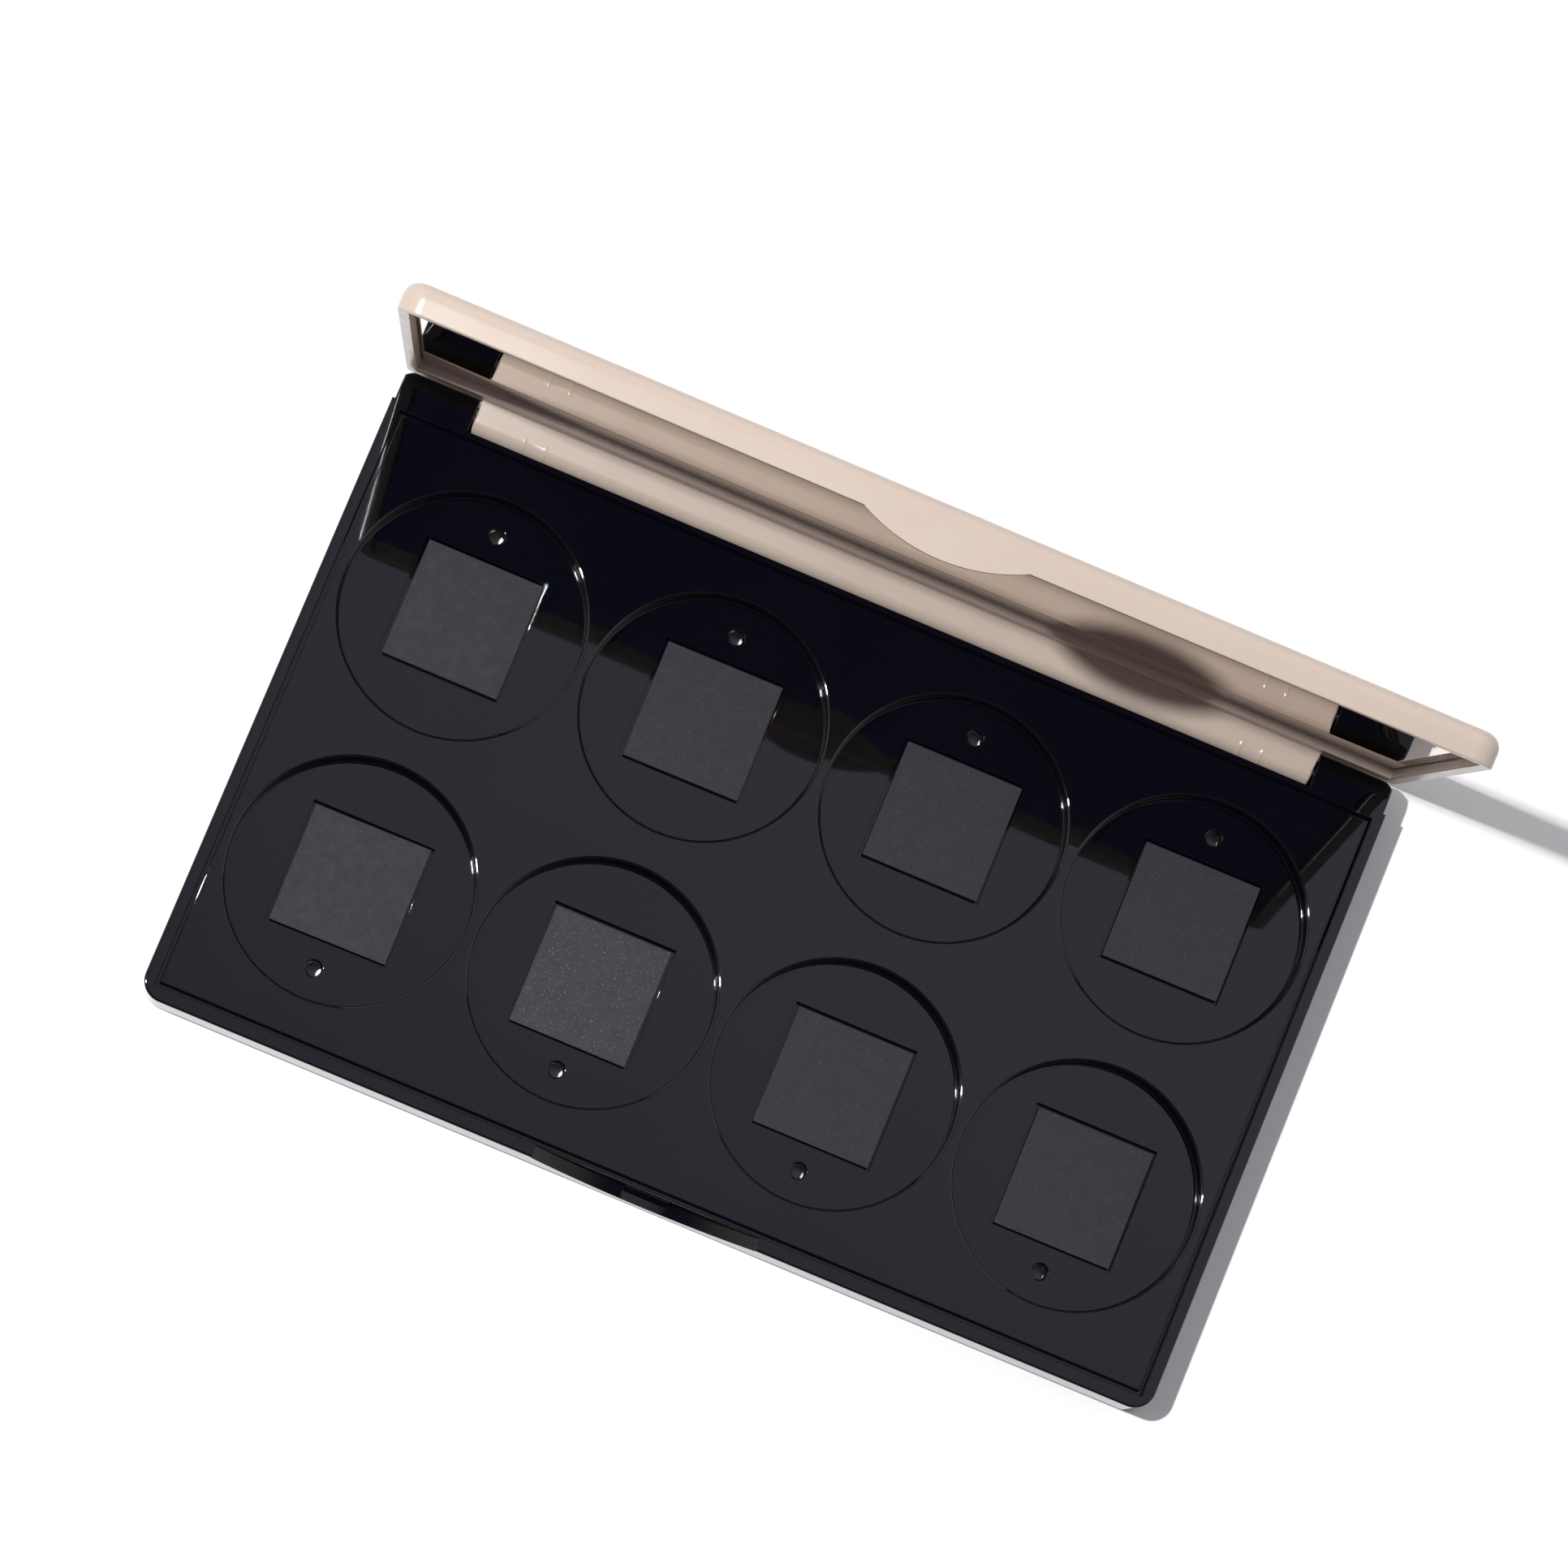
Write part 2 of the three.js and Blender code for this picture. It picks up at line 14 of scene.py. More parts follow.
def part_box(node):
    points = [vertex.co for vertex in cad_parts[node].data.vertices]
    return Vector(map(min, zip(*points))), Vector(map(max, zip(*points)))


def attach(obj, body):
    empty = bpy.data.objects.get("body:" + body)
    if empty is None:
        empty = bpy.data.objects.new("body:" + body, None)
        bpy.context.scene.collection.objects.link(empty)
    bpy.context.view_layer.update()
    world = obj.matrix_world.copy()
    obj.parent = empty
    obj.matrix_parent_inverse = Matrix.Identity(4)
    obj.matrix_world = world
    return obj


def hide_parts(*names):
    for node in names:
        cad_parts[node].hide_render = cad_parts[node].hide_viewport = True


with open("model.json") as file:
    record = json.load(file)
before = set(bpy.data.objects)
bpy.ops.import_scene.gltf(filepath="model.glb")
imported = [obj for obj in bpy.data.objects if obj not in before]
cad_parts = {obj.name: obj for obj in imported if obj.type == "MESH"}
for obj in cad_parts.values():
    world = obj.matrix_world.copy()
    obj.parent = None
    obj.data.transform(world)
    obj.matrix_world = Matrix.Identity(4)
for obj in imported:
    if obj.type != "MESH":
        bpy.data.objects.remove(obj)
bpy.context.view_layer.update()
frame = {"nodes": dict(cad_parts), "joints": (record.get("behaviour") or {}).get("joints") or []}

MM = 0.001


# ---- places read from the frame -------------------------------------------------------------------
def millimetre_box(node):
    """Lowest and highest corners of a CAD node at rest, in millimetres."""
    low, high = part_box(node)
    return low / MM, high / MM


HINGE = frame["joints"][0]
HINGE_Y, HINGE_Z = (place / MM for place in HINGE["pos_m"][1:])
LID_OPEN = math.radians(max(HINGE["range_deg"]))
OPENING_TURN = (
    Matrix.Translation((0, HINGE_Y, HINGE_Z))
    @ Matrix.Rotation(-LID_OPEN, 4, "X")
    @ Matrix.Translation((0, -HINGE_Y, -HINGE_Z))
)


def shut_box(node):
    """Lowest and highest corners of a node of the lid once the lid is shut, in millimetres."""
    shut = OPENING_TURN.inverted()
    points = [shut @ (vertex.co / MM) for vertex in frame["nodes"][node].data.vertices]
    low = Vector(min(point[axis] for point in points) for axis in range(3))
    high = Vector(max(point[axis] for point in points) for axis in range(3))
    return low, high


CASE_LOW, CASE_HIGH = millimetre_box("base_casing")
TRAY_LOW, TRAY_HIGH = millimetre_box("well_tray")
LID_HIGH = shut_box("lid_shell")[1]
MIRROR_LOW, MIRROR_HIGH = shut_box("mirror")

# ---- driving dimensions ---------------------------------------------------------------------------
# Casing, its rear shoulder and its knuckles
CASE_CORNER = 2.4
CASE_FLOOR = 1.2
CASE_TOP = TRAY_HIGH.z
SHOULDER_Y = 32.5
SHOULDER_STEP = 0.3
REAR_RIM_Y = 32.15
LEDGE = 1.0
RIB = 1.0
KNUCKLE_RADIUS = CASE_TOP - HINGE_Z
KNUCKLE_INNER_X = 48.4
KNUCKLE_CHAMFER = 0.8

# Hinge barrel, its trough, its fine ridges and the pin holes
BARREL_RADIUS = 1.65
BARREL_HALF_LENGTH = 48.2
BARREL_TROUGH_Z = 2.2
RIDGE_X = (40.0, 42.4)
RIDGE_HALF_WIDTH = 0.2
RIDGE_HEIGHT = 0.06
PIN_HOLE_RADIUS = 0.75
PIN_HOLE_INNER_X = 41.5
LID_STOP = math.radians(100)
REAR_CLEARANCE = 0.1

# Tray, wells, magnet pockets and poke holes
TRAY_GAP = 0.4
TRAY_PLATE = 1.2
WELL_PITCH_X = 27.5
WELL_PITCH_Y = 30.56
WELL_CENTRE_Y = -1.515
WELL_RADIUS = 13.1
WELL_RIM_ROUND = 0.32
WELL_DEPTH = 2.6
CUP_WALL = 0.9
CUP_CLEARANCE = 0.15
POCKET_SIDE = 13.74
POCKET_DEPTH = 1.2
POCKET_WALL = 0.8
POKE_RADIUS = 0.8
POKE_OFFSET = 9.62
POKE_TUBE_RADIUS = 1.6
POKE_EXIT_RADIUS = 1.3
BRIGHT_MAGNET_NUMBER = 6

# Lid and mirror. The inset keeps the lid's facets inside the CAD box
LID_CORNER = 2.4
LID_EDGE = 1.6
LID_INSET = 0.01
LID_RIM = 1.4
LID_REAR_RIM_Y = 28.8
MIRROR_RECESS = 1.0
MIRROR_BACKING = 0.2
MIRROR_BOW = 0.1
LID_RIM_Z = MIRROR_LOW.z - MIRROR_RECESS
LID_POCKET_Z = MIRROR_HIGH.z + MIRROR_BACKING

# Thumb tab with its nib, and the scoop and catch that it meets
TAB_WIDTH = 17.4
TAB_THICKNESS = 1.0
TAB_DROP = 2.1
NIB_WIDTH = 4.3
NIB_PROUD = 0.15
NIB_HEIGHT = 0.35
SCOOP_HALF_WIDTH = 12.6
SCOOP_BACK_Y = -34.8
SCOOP_END_DEPTH = 0.6
SCOOP_MIDDLE_DEPTH = 4.4
CATCH_WIDTH = 4.9
CATCH_PROUD = 0.15
CATCH_TOP_DEPTH = 1.0
CATCH_HEIGHT = 0.6
CATCH_SLOT_DEPTH = 0.45

# Radii of the rounded edges
FLOOR_ROUND = 0.5
OUTER_ROUND = 0.24
TROUGH_ROUND = 0.14
OPENING_ROUND = 0.12
SCOOP_ROUND = 0.05
EXIT_ROUND = 0.2
TRAY_ROUND = 0.15
POKE_ROUND = 0.22
POCKET_ROUND = 0.03
WELL_CORNER_ROUND = 0.12
MAGNET_ROUND = 0.06
BARREL_END_ROUND = 0.3
LID_RIM_ROUND = 0.2
TAB_ROUND = 0.06
MIRROR_ROUND = 0.08

# How far a cutter runs past the face it opens, how far joined solids overlap, and the gap over a rib
OVERCUT = 1.0
OVERLAP = 0.1
RIB_GAP = 0.05

# Margins for telling one edge from its neighbours
TIGHT_MARGIN = 0.01
LOOSE_MARGIN = 0.1

# Facets round a quarter corner, round whole circles and along curves
CORNER_STEPS = 24
ARC_STEPS = 96
BARREL_STEPS = 96
CUP_STEPS = 96
RELIEF_STEPS = 64
WELL_STEPS = 256
HOLE_STEPS = 40
RIDGE_STEPS = 8
BOW_STEPS = 32

# Edges that turn further than this are sharp
SHARP = math.radians(32)

# What counts as one point, as no length, and as one plane, when a mesh is cleaned
MERGE_DISTANCE = 0.002
LEAST_LENGTH = 0.001
FLAT = math.radians(0.3)


# ---- mesh helpers ---------------------------------------------------------------------------------
def arc(centre, radius, start, end, steps):
    """Points on a circle, from a start to an end angle in radians, both ends included."""
    return [
        (
            centre[0] + radius * math.cos(start + (end - start) * step / steps),
            centre[1] + radius * math.sin(start + (end - start) * step / steps),
        )
        for step in range(steps + 1)
    ]


def circle(centre, radius, steps):
    """Points round a whole circle, the first one given once."""
    return arc(centre, radius, 0, 2 * math.pi, steps)[:-1]


def rectangle(x0, x1, y0, y1):
    """The four corners of a rectangle, counter-clockwise."""
    return [(x0, y0), (x1, y0), (x1, y1), (x0, y1)]


def rounded_rectangle(half_width, y0, y1, front, rear):
    """A rectangle with its front and rear corners rounded to these radii, 0 for a sharp corner."""
    quarter = math.pi / 2
    points = arc((half_width - front, y0 + front), front, -quarter, 0, CORNER_STEPS)
    if rear:
        points += arc((half_width - rear, y1 - rear), rear, 0, quarter, CORNER_STEPS)
        points += arc((-half_width + rear, y1 - rear), rear, quarter, 2 * quarter, CORNER_STEPS)
    else:
        points += [(half_width, y1), (-half_width, y1)]
    points += arc((-half_width + front, y0 + front), front, 2 * quarter, 3 * quarter, CORNER_STEPS)
    return points


def hanging_arc(half_width, top, end, lowest):
    """Flat on top, and below a circle through its two ends and its lowest point."""
    sag = end - lowest
    radius = (half_width**2 + sag**2) / (2 * sag)
    centre = (0, lowest + radius)
    reach = math.asin(half_width / radius)
    down = -math.pi / 2
    return [
        (-half_width, top),
        *arc(centre, radius, down - reach, down + reach, ARC_STEPS),
        (half_width, top),
    ]


# A point of an outline, u and v, at w along each axis
PLACES = {
    "Z": lambda u, v, w: (u, v, w),
    "X": lambda u, v, w: (w, u, v),
    "Y": lambda u, v, w: (u, w, v),
}


def prism(outline, low, high, axis="Z"):
    """A closed solid: an outline pushed from low to high along an axis."""
    bm = bmesh.new()
    place = PLACES[axis]
    lower = [bm.verts.new(place(u, v, low)) for u, v in outline]
    upper = [bm.verts.new(place(u, v, high)) for u, v in outline]
    bm.faces.new(lower)
    bm.faces.new(upper)
    count = len(outline)
    for index in range(count):
        after = (index + 1) % count
        bm.faces.new((lower[index], lower[after], upper[after], upper[index]))
    bmesh.ops.recalc_face_normals(bm, faces=bm.faces)
    return bm


def turned(profile, steps):
    """A closed solid turned about the hinge's axis from (place along X, radius) pairs."""
    bm = bmesh.new()
    rings = [
        [bm.verts.new((x, y, z)) for y, z in circle((HINGE_Y, HINGE_Z), radius, steps)]
        for x, radius in profile
    ]
    bm.faces.new(rings[0])
    bm.faces.new(rings[-1])
    for ring, following in zip(rings, rings[1:]):
        for index in range(steps):
            after = (index + 1) % steps
            bm.faces.new((ring[index], ring[after], following[after], following[index]))
    bmesh.ops.recalc_face_normals(bm, faces=bm.faces)
    return bm


def joined(parts):
    """One bmesh that holds several separate closed solids."""
    whole = bmesh.new()
    for part in parts:
        mesh = bpy.data.meshes.new("part")
        part.to_mesh(mesh)
        part.free()
        whole.from_mesh(mesh)
        bpy.data.meshes.remove(mesh)
    return whole


def object_of(name, bm):
    """A new object in the scene from a bmesh, which is freed."""
    mesh = bpy.data.meshes.new(name)
    bm.to_mesh(mesh)
    bm.free()
    obj = bpy.data.objects.new(name, mesh)
    bpy.context.scene.collection.objects.link(obj)
    return obj


def apply_modifiers(obj):
    """Gives an object the mesh that its modifiers make."""
    depsgraph = bpy.context.evaluated_depsgraph_get()
    mesh = bpy.data.meshes.new_from_object(obj.evaluated_get(depsgraph))
    old = obj.data
    obj.modifiers.clear()
    obj.data = mesh
    bpy.data.meshes.remove(old)
    mesh.name = obj.name


def combine(obj, operation, *parts):
    """Cuts parts from an object, or joins them to it. The parts don't touch each other."""
    tool = object_of("tool", joined(parts))
    modifier = obj.modifiers.new("combine", "BOOLEAN")
    modifier.operation = operation
    modifier.solver = "EXACT"
    modifier.object = tool
    apply_modifiers(obj)
    bpy.data.objects.remove(tool)


def cut(obj, *parts):
    """Cuts away solids that don't touch each other."""
    combine(obj, "DIFFERENCE", *parts)


def add(obj, *parts):
    """Joins on solids that don't touch each other."""
    combine(obj, "UNION", *parts)


def clean(obj):
    """Merges doubled points and joins faces that lie in one plane."""
    bm = bmesh.new()
    bm.from_mesh(obj.data)
    bmesh.ops.remove_doubles(bm, verts=bm.verts, dist=MERGE_DISTANCE)
    bmesh.ops.dissolve_degenerate(bm, edges=bm.edges, dist=LEAST_LENGTH)
    bmesh.ops.dissolve_limit(bm, angle_limit=FLAT, verts=bm.verts, edges=bm.edges)
    bm.to_mesh(obj.data)
    bm.free()


def round_edges(obj, radius, chosen, steps=4):
    """Rounds the sharp edges whose middle is chosen."""
    bm = bmesh.new()
    bm.from_mesh(obj.data)
    edges = [
        edge
        for edge in bm.edges
        if len(edge.link_faces) == 2
        and edge.calc_face_angle() > SHARP
        and chosen((edge.verts[0].co + edge.verts[1].co) / 2, edge)
    ]
    bmesh.ops.bevel(
        bm, geom=edges, offset=radius, offset_type="OFFSET", segments=steps, profile=0.5,
        affect="EDGES", clamp_overlap=False,
    )
    bm.to_mesh(obj.data)
    bm.free()


def finish_piece(obj, material, body, slot, *nodes, opened=False):
    """Turns a piece from millimetres to metres, shades it smooth and hangs it on its body."""
    turn = OPENING_TURN if opened else Matrix.Identity(4)
    obj.data.transform(Matrix.Scale(MM, 4) @ turn)
    obj.data.shade_smooth()
    obj.data.set_sharp_from_angle(angle=SHARP)
    weighted = obj.modifiers.new("flat faces stay flat", "WEIGHTED_NORMAL")
    weighted.keep_sharp = True
    weighted.weight = 100
    obj.data.materials.clear()
    obj.data.materials.append(material)
    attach(obj, body)
    if nodes:
        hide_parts(*nodes)


def near(value, target, tolerance=0.02):
    """Whether a place on a mesh is the one meant, within rounding."""
    return abs(value - target) < tolerance


# ---- material helpers -----------------------------------------------------------------------------
class Look:
    """A material's node tree, with short ways to add what every material here needs."""

    def __init__(self, name):
        self.material = bpy.data.materials.new(name)
        self.material.use_nodes = True
        self.nodes = self.material.node_tree.nodes
        self.links = self.material.node_tree.links
        self.shader = self.nodes["Principled BSDF"]
        self.place = self.nodes.new("ShaderNodeTexCoord").outputs["Object"]

    def set(self, **values):
        """Sets the shader's plain inputs. An underscore stands for a space."""
        for name, value in values.items():
            self.shader.inputs[name.replace("_", " ")].default_value = value

    def noise(self, size_mm, detail=2.0, roughness=0.5, stretch=(1, 1, 1)):
        """Noise whose grains are about this size."""
        mapping = self.nodes.new("ShaderNodeMapping")
        mapping.inputs["Scale"].default_value = stretch
        self.links.new(self.place, mapping.inputs["Vector"])
        noise = self.nodes.new("ShaderNodeTexNoise")
        noise.inputs["Scale"].default_value = 1 / (size_mm * MM)
        noise.inputs["Detail"].default_value = detail
        noise.inputs["Roughness"].default_value = roughness
        self.links.new(mapping.outputs["Vector"], noise.inputs["Vector"])
        return noise.outputs["Fac"]

    def grains(self, size_mm):
        """A random number for each small cell of about this size."""
        cells = self.nodes.new("ShaderNodeTexVoronoi")
        cells.inputs["Scale"].default_value = 1 / (size_mm * MM)
        self.links.new(self.place, cells.inputs["Vector"])
        split = self.nodes.new("ShaderNodeSeparateColor")
        self.links.new(cells.outputs["Color"], split.inputs["Color"])
        return split.outputs["Red"]

    def ramp(self, source, *stops):
        """A number turned into a colour, or a grey, by (place, colour) stops."""
        ramp = self.nodes.new("ShaderNodeValToRGB")
        elements = ramp.color_ramp.elements
        while len(elements) < len(stops):
            elements.new(0.5)
        for element, (place, colour) in zip(elements, stops):
            element.position = place
            grey = isinstance(colour, (int, float))
            element.color = (colour, colour, colour, 1) if grey else (*colour, 1)
        self.links.new(source, ramp.inputs["Fac"])
        return ramp.outputs["Color"]

    def range(self, source, low, high, from_low=0.3, from_high=0.7):
        """A number between low and high."""
        spread = self.nodes.new("ShaderNodeMapRange")
        spread.inputs["From Min"].default_value = from_low
        spread.inputs["From Max"].default_value = from_high
        spread.inputs["To Min"].default_value = low
        spread.inputs["To Max"].default_value = high
        self.links.new(source, spread.inputs["Value"])
        return spread.outputs["Result"]

    def bump(self, source, height_mm, normal=None):
        """Tilts the surface as a relief of this height would, on top of an earlier bump."""
        bump = self.nodes.new("ShaderNodeBump")
        bump.inputs["Distance"].default_value = height_mm * MM
        bump.inputs["Strength"].default_value = 1.0
        self.links.new(source, bump.inputs["Height"])
        if normal is not None:
            self.links.new(normal, bump.inputs["Normal"])
        return bump.outputs["Normal"]

    def wire(self, **sources):
        """Links sources to the shader's inputs and gives the finished material."""
        for name, source in sources.items():
            self.links.new(source, self.shader.inputs[name.replace("_", " ")])
        return self.material


# ---- materials ------------------------------------------------------------------------------------
def black_plastic(name, wave_mm):
    """Polished black plastic, with the slow waves of a moulded sheet and a trace of haze."""
    look = Look(name)
    look.set(IOR=1.5, Specular_IOR_Level=0.5)
    tint = look.ramp(
        look.noise(22, 3), (0.35, (0.0006, 0.0007, 0.0014)), (0.65, (0.0012, 0.0011, 0.0016))
    )
    haze = look.range(look.noise(9, 4, 0.6), 0.02, 0.04)
    waves = look.bump(look.noise(26, 1), wave_mm)
    peel = look.bump(look.noise(1.6, 2), 0.00004, waves)
    return look.wire(Base_Color=tint, Roughness=haze, Normal=peel)


def nude_plastic():
    """Satin-gloss beige plastic, faintly mottled, with a little light passing into it."""
    look = Look("nude_plastic")
    look.set(
        IOR=1.5, Subsurface_Weight=0.1, Subsurface_Scale=0.0008, Subsurface_Radius=(1.0, 0.55, 0.4)
    )
    tint = look.ramp(look.noise(14, 3), (0.3, (0.400, 0.328, 0.278)), (0.7, (0.420, 0.345, 0.293)))
    haze = look.range(look.noise(5, 3), 0.24, 0.28)
    waves = look.bump(look.noise(12, 2), 0.004)
    grain = look.bump(look.noise(0.35, 2), 0.0004, waves)
    return look.wire(Base_Color=tint, Roughness=haze, Normal=grain)


def mirror_glass():
    """Silvered glass, its silver a little uneven, with the faintest smudges."""
    look = Look("mirror_glass")
    look.set(Metallic=1.0, Specular_Tint=(0.85, 0.79, 0.73, 1.0))
    tint = look.ramp(look.noise(30, 2), (0.3, (0.86, 0.87, 0.87)), (0.7, (0.89, 0.90, 0.90)))
    smudge = look.range(look.noise(12, 4, 0.65), 0.0, 0.003, 0.45, 0.75)
    return look.wire(Base_Color=tint, Roughness=smudge)


def magnet_sheet(name, low, high, glint_paint):
    """Ferrite-filled rubber: a fine grey grain, with painted glints: a few single grains are painted
    brighter where they would catch the light.
    """
    look = Look(name)
    look.set(IOR=1.5, Specular_IOR_Level=0.18)
    fine = look.noise(0.06, 2, 0.7)
    body = look.ramp(fine, (0.35, low), (0.68, high))
    # Painted glints: a few random grains get a brighter colour that stands in for grains catching
    # the light.
    painted_glints = look.ramp(look.grains(0.08), (0.96, 0.0), (0.99, glint_paint))
    mix = look.nodes.new("ShaderNodeMix")
    mix.data_type = "RGBA"
    mix.blend_type = "ADD"
    mix.inputs["Factor"].default_value = 1.0
    look.links.new(body, mix.inputs["A"])
    look.links.new(painted_glints, mix.inputs["B"])
    haze = look.range(look.noise(1.2, 3), 0.55, 0.65)
    relief = look.bump(fine, 0.003)
    return look.wire(Base_Color=mix.outputs["Result"], Roughness=haze, Normal=relief)


def drawn_steel():
    """Drawn wire for the pins, with fine lines along X."""
    look = Look("drawn_steel")
    look.set(Metallic=1.0)
    lines = look.noise(0.25, 3, 0.6, stretch=(0.03, 1, 1))
    tint = look.ramp(lines, (0.3, (0.42, 0.42, 0.43)), (0.7, (0.62, 0.62, 0.63)))
    haze = look.range(lines, 0.22, 0.38)
    return look.wire(Base_Color=tint, Roughness=haze, Normal=look.bump(lines, 0.004))


def adhesive_film():
    """Cloudy, slightly wrinkled double-sided film."""
    look = Look("adhesive_film")
    look.set(IOR=1.45, Subsurface_Weight=0.2, Subsurface_Scale=0.0005)
    wrinkle = look.noise(1.5, 4, 0.6)
    tint = look.ramp(wrinkle, (0.3, (0.45, 0.42, 0.34)), (0.7, (0.56, 0.52, 0.43)))
    haze = look.range(wrinkle, 0.5, 0.7)
    return look.wire(Base_Color=tint, Roughness=haze, Normal=look.bump(wrinkle, 0.01))


def white_floor():
    """Plain pale board, a little uneven."""
    look = Look("white_floor")
    look.set(Specular_IOR_Level=0.2)
    tint = look.ramp(look.noise(60, 3), (0.3, (0.80, 0.795, 0.80)), (0.7, (0.83, 0.825, 0.83)))
    return look.wire(Base_Color=tint, Roughness=look.range(look.noise(3, 3), 0.55, 0.65))


CASING_BLACK = black_plastic("casing_black_plastic", 0.0006)
TRAY_BLACK = black_plastic("tray_black_plastic", 0.0012)
NUDE = nude_plastic()
MIRROR_GLASS = mirror_glass()
# The last figure of each is the brightness of the painted glints. One magnet gets a lighter grey and
# three times the painted glints.
MAGNET = magnet_sheet("magnet_rubber", (0.015, 0.0135, 0.019), (0.026, 0.023, 0.031), 0.03)
BRIGHT_MAGNET = magnet_sheet(
    "bright_magnet_rubber", (0.020, 0.019, 0.024), (0.038, 0.036, 0.043), 0.09
)
STEEL = drawn_steel()
FILM = adhesive_film()

# ---- wells ----------------------------------------------------------------------------------------
# Each well's centre along X and Y, and the centre of its poke hole along Y: rear row, then front row
WELLS = [
    (
        (column - 1.5) * WELL_PITCH_X,
        WELL_CENTRE_Y + towards * WELL_PITCH_Y / 2,
        WELL_CENTRE_Y + towards * (WELL_PITCH_Y / 2 + POKE_OFFSET),
    )
    for towards in (1, -1)
    for column in range(4)
]
WELL_FLOOR_Z = CASE_TOP - WELL_DEPTH
CUP_UNDERSIDE_Z = WELL_FLOOR_Z - CUP_WALL
POCKET_FLOOR_Z = WELL_FLOOR_Z - POCKET_DEPTH


def square(x, y, half):
    """A square outline from its centre and half its side."""
    return rectangle(x - half, x + half, y - half, y + half)


# ---- base casing ----------------------------------------------------------------------------------
# The lid's inner face, leaned back to the stop, lies along the rear wall
PLANE_REACH = LID_RIM_Z - HINGE_Z - REAR_CLEARANCE
REAR_LEAN = math.tan(LID_STOP - math.pi / 2)
REAR_TANGENT_Y = HINGE_Y + PLANE_REACH * math.sin(LID_STOP)
REAR_TANGENT_Z = HINGE_Z + PLANE_REACH * math.cos(LID_STOP)


def rear_wall_y(z):
    """Where the rear wall is at a height: it leans in below the hinge, to let the lid lean back."""
    return REAR_TANGENT_Y - (REAR_TANGENT_Z - z) * REAR_LEAN


def in_pin_hole(middle):
    """Whether an edge belongs to a pin hole's mouth."""
    return math.hypot(middle.y - HINGE_Y, middle.z - HINGE_Z) < PIN_HOLE_RADIUS + LOOSE_MARGIN


def knuckle(x0, x1):
    """A side view of the casing's rear corner, rounded about the hinge."""
    profile = [(SHOULDER_Y - OVERCUT, 0), (rear_wall_y(0), 0)]
    upright = math.pi / 2
    profile += arc((HINGE_Y, HINGE_Z), KNUCKLE_RADIUS, upright - LID_STOP, upright, CORNER_STEPS)
    profile += [(SHOULDER_Y - OVERCUT, HINGE_Z + KNUCKLE_RADIUS)]
    return prism(profile, x0, x1, "X")


def corner_cutter(side):
    """A solid that chamfers the rear upright corner on one side, -1 or 1."""
    outer = CASE_HIGH.x - SHOULDER_STEP
    rear = HINGE_Y + KNUCKLE_RADIUS
    outline = [
        (side * (outer - KNUCKLE_CHAMFER), rear),
        (side * outer, rear - KNUCKLE_CHAMFER),
        (side * (outer + OVERCUT), rear - KNUCKLE_CHAMFER),
        (side * (outer + OVERCUT), rear + OVERCUT),
        (side * (outer - KNUCKLE_CHAMFER), rear + OVERCUT),
    ]
    return prism(outline, -OVERCUT, CASE_TOP + OVERCUT)


